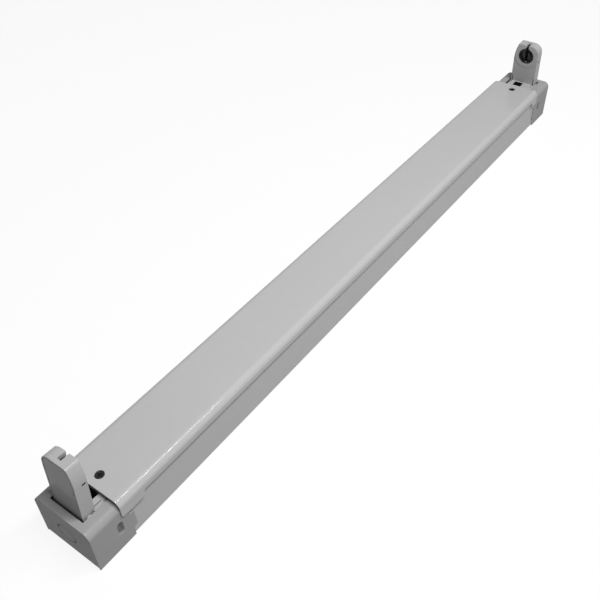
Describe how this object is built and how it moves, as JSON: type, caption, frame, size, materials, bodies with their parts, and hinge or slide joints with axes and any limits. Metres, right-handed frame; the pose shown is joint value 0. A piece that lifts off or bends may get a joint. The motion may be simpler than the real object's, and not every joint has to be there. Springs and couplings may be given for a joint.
{
  "type": "tube light fixture",
  "caption": "Bare batten for a straight fluorescent tube: folded steel spine with end caps, lift-off cover, leaning rotary lampholders, ballast, mains terminals and wiring.",
  "frame": {"origin": "middle of the mounting back, on the plane that lies against the ceiling", "axes": "+X along the batten to the end where the cover stops further from the lampholder, +Z away from the ceiling towards the tube, +Y across the batten"},
  "size_m": [0.62, 0.0472, 0.0754],
  "materials": {
    "painted_sheet": "semi-gloss",
    "plated_steel": "satin",
    "holder_plastic": "satin",
    "black_plastic": "satin",
    "dark_screw": "satin",
    "bronze": "satin",
    "brass": "satin",
    "white_plastic": "satin",
    "board": "matte",
    "wire_brown": "satin",
    "wire_blue": "satin",
    "wire_green": "satin",
    "wire_white": "satin"
  },
  "bodies": {
    "batten": {"spine": "painted_sheet", "end_cap_left": "painted_sheet", "end_cap_right": "painted_sheet", "bridge_left": "plated_steel", "bridge_right": "plated_steel", "ballast_case": "plated_steel", "ballast_base": "plated_steel", "ballast_board": "board", "ballast_input_terminal": "white_plastic", "ballast_output_terminal": "white_plastic", "ballast_screws": "plated_steel", "terminal_block": "white_plastic", "terminal_screws": "brass", "terminal_fixing_screw": "plated_steel", "earth_screw": "brass", "earth_tag": "plated_steel", "cable_bush": "black_plastic", "wire_clips": "white_plastic", "live_wire": "wire_brown", "neutral_wire": "wire_blue", "earth_wire": "wire_green", "lamp_leads_left": "wire_white", "lamp_leads_right": "wire_white"},
    "lid": {"cover": "painted_sheet", "cover_screws": "dark_screw"},
    "holder_left": {"lampholder_left": "holder_plastic", "lampholder_back_left": "holder_plastic", "contacts_left": "bronze"},
    "holder_right": {"lampholder_right": "holder_plastic", "lampholder_back_right": "holder_plastic", "contacts_right": "bronze"},
    "lock_left": {"rotor_left": "black_plastic"},
    "lock_right": {"rotor_right": "black_plastic"}
  },
  "joints": [
    {"name": "cover_lift", "type": "slide", "parent": "batten", "child": "lid", "axis": [0, 0, 1], "range_m": [0, 0.1]},
    {"name": "lampholder_left_tilt", "type": "hinge", "parent": "batten", "child": "holder_left", "pos_m": [-0.3, 0, 0.0322], "axis": [0, -1, 0], "range_deg": [0, 5]},
    {"name": "lampholder_right_tilt", "type": "hinge", "parent": "batten", "child": "holder_right", "pos_m": [0.3, 0, 0.0322], "axis": [0, 1, 0], "range_deg": [0, 5]},
    {"name": "rotor_left_turn", "type": "hinge", "parent": "holder_left", "child": "lock_left", "pos_m": [-0.29417, 0, 0.0637], "axis": [0.9981, 0, -0.061], "range_deg": [-90, 90]},
    {"name": "rotor_right_turn", "type": "hinge", "parent": "holder_right", "child": "lock_right", "pos_m": [0.29417, 0, 0.0637], "axis": [-0.9981, 0, -0.061], "range_deg": [-90, 90]}
  ]
}
